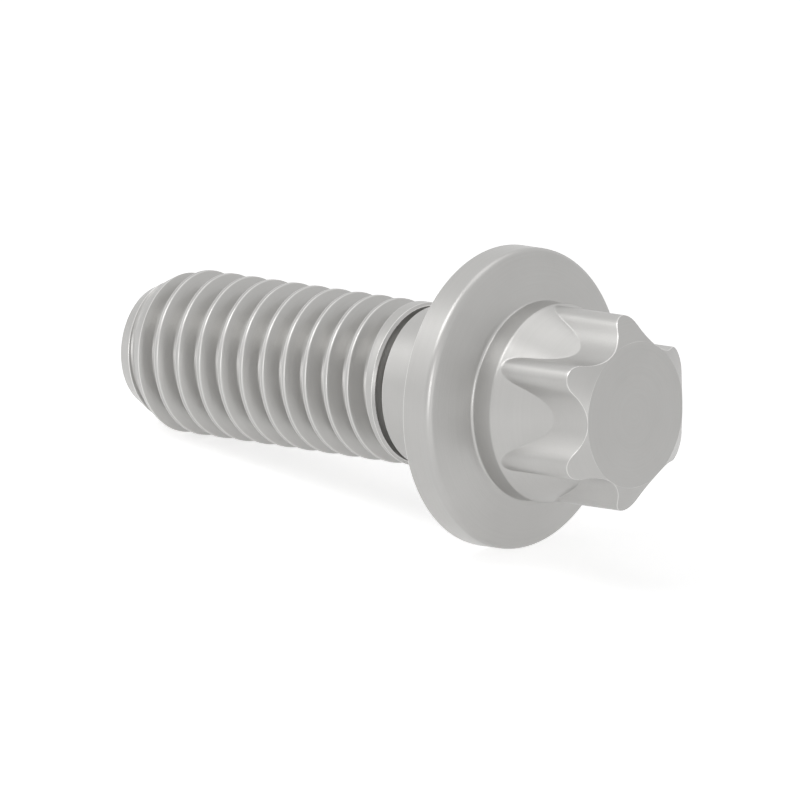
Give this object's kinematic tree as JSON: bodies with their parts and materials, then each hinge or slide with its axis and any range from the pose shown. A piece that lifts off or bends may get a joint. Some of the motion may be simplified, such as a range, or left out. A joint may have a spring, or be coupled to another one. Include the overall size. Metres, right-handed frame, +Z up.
{
  "type": "flange screw",
  "caption": "Screw with a round flange under an external hexalobular head, a plain neck, a fine relief groove, a helical thread and a flat conical tip.",
  "frame": {"origin": "centre of the bottom of the bounding box, on the plane the screw lies on", "axes": "+X towards the head along the length of the lying screw, +Z up; the screw's own axis leans up towards the head by 9.8 degrees from +X in the XZ plane"},
  "size_m": [0.023, 0.011, 0.011],
  "materials": {
    "steel": "satin"
  },
  "bodies": {
    "root": {"screw": "steel"}
  },
  "joints": []
}
